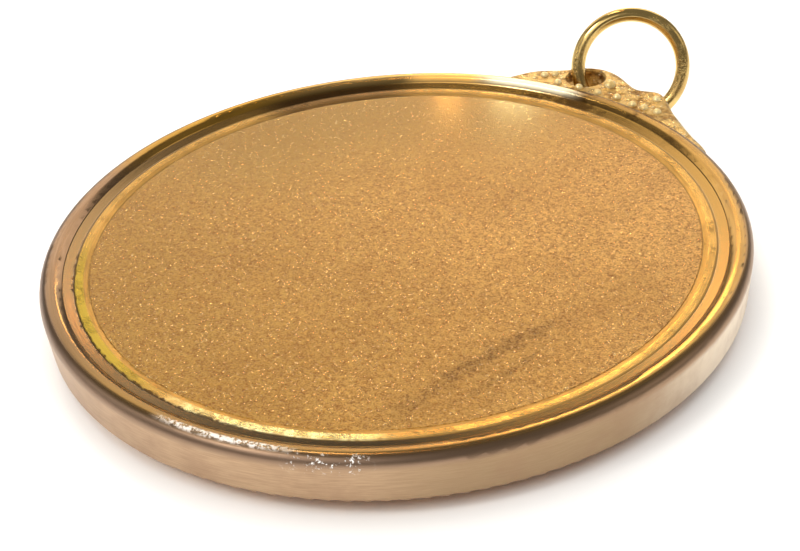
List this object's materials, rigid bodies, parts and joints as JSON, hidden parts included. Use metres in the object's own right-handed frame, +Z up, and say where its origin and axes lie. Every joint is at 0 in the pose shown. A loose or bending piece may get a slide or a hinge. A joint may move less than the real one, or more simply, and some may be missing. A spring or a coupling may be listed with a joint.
{
  "type": "photo locket",
  "caption": "Round hinged photo locket with a recessed grained back panel, a snap lip, a cast beaded bail mount and a loose jump ring.",
  "frame": {"origin": "centre of the flat outer face of the front cover, on which the closed locket lies", "axes": "+Z up through the back panel, +Y from the centre to the bail mount and jump ring, hinge at -X"},
  "size_m": [0.0413, 0.0462, 0.0075],
  "materials": {
    "band": "rose-gold plate, brushed round the wall, worn paler on the rim",
    "panel": "gilt with a fine sand-blast grain",
    "bezel": "polished yellow gilt",
    "mount": "as-cast gilt with a fine sandy skin",
    "beads": "cast beads, polished on their tops",
    "jump_ring": "polished gilt wire",
    "hinge": "satin gilt, darkened beside the knuckles",
    "pin": "drawn steel wire with chamfered ends",
    "cover": "polished rose-gold plate with fine scratches",
    "lip": "turned gilt brass",
    "frame": "bright gilt, lightly turned",
    "crystal": "clear pressed crystal",
    "card": "plain off-white card, faintly foxed"
  },
  "bodies": {
    "case": {"case_band": "band", "back_panel": "panel", "bezel_ring": "bezel", "bail_mount": "mount", "edge_beading": "beads", "eye_bead": "beads", "case_knuckle_upper": "hinge", "case_knuckle_lower": "hinge", "hinge_pin": "pin", "case_picture": "card", "case_crystal": "crystal", "case_frame": "frame"},
    "cover": {"cover_shell": "cover", "cover_lip": "lip", "snap_pips": "lip", "cover_knuckle": "hinge", "cover_picture": "card", "cover_crystal": "crystal", "cover_frame": "frame"},
    "jump_ring": {"jump_ring": "jump_ring"}
  },
  "joints": [
    {"name": "cover_hinge", "type": "hinge", "parent": "cover", "child": "case", "pos_m": [-0.0207, 0, 0.0009], "axis": [0, -1, 0], "range_deg": [0, 165]},
    {"name": "ring_swing", "type": "hinge", "parent": "case", "child": "jump_ring", "pos_m": [-0.00074, 0.02187, 0.0039], "axis": [-0.2061, 0.3322, 0.9204], "range_deg": [-8, 105]}
  ]
}
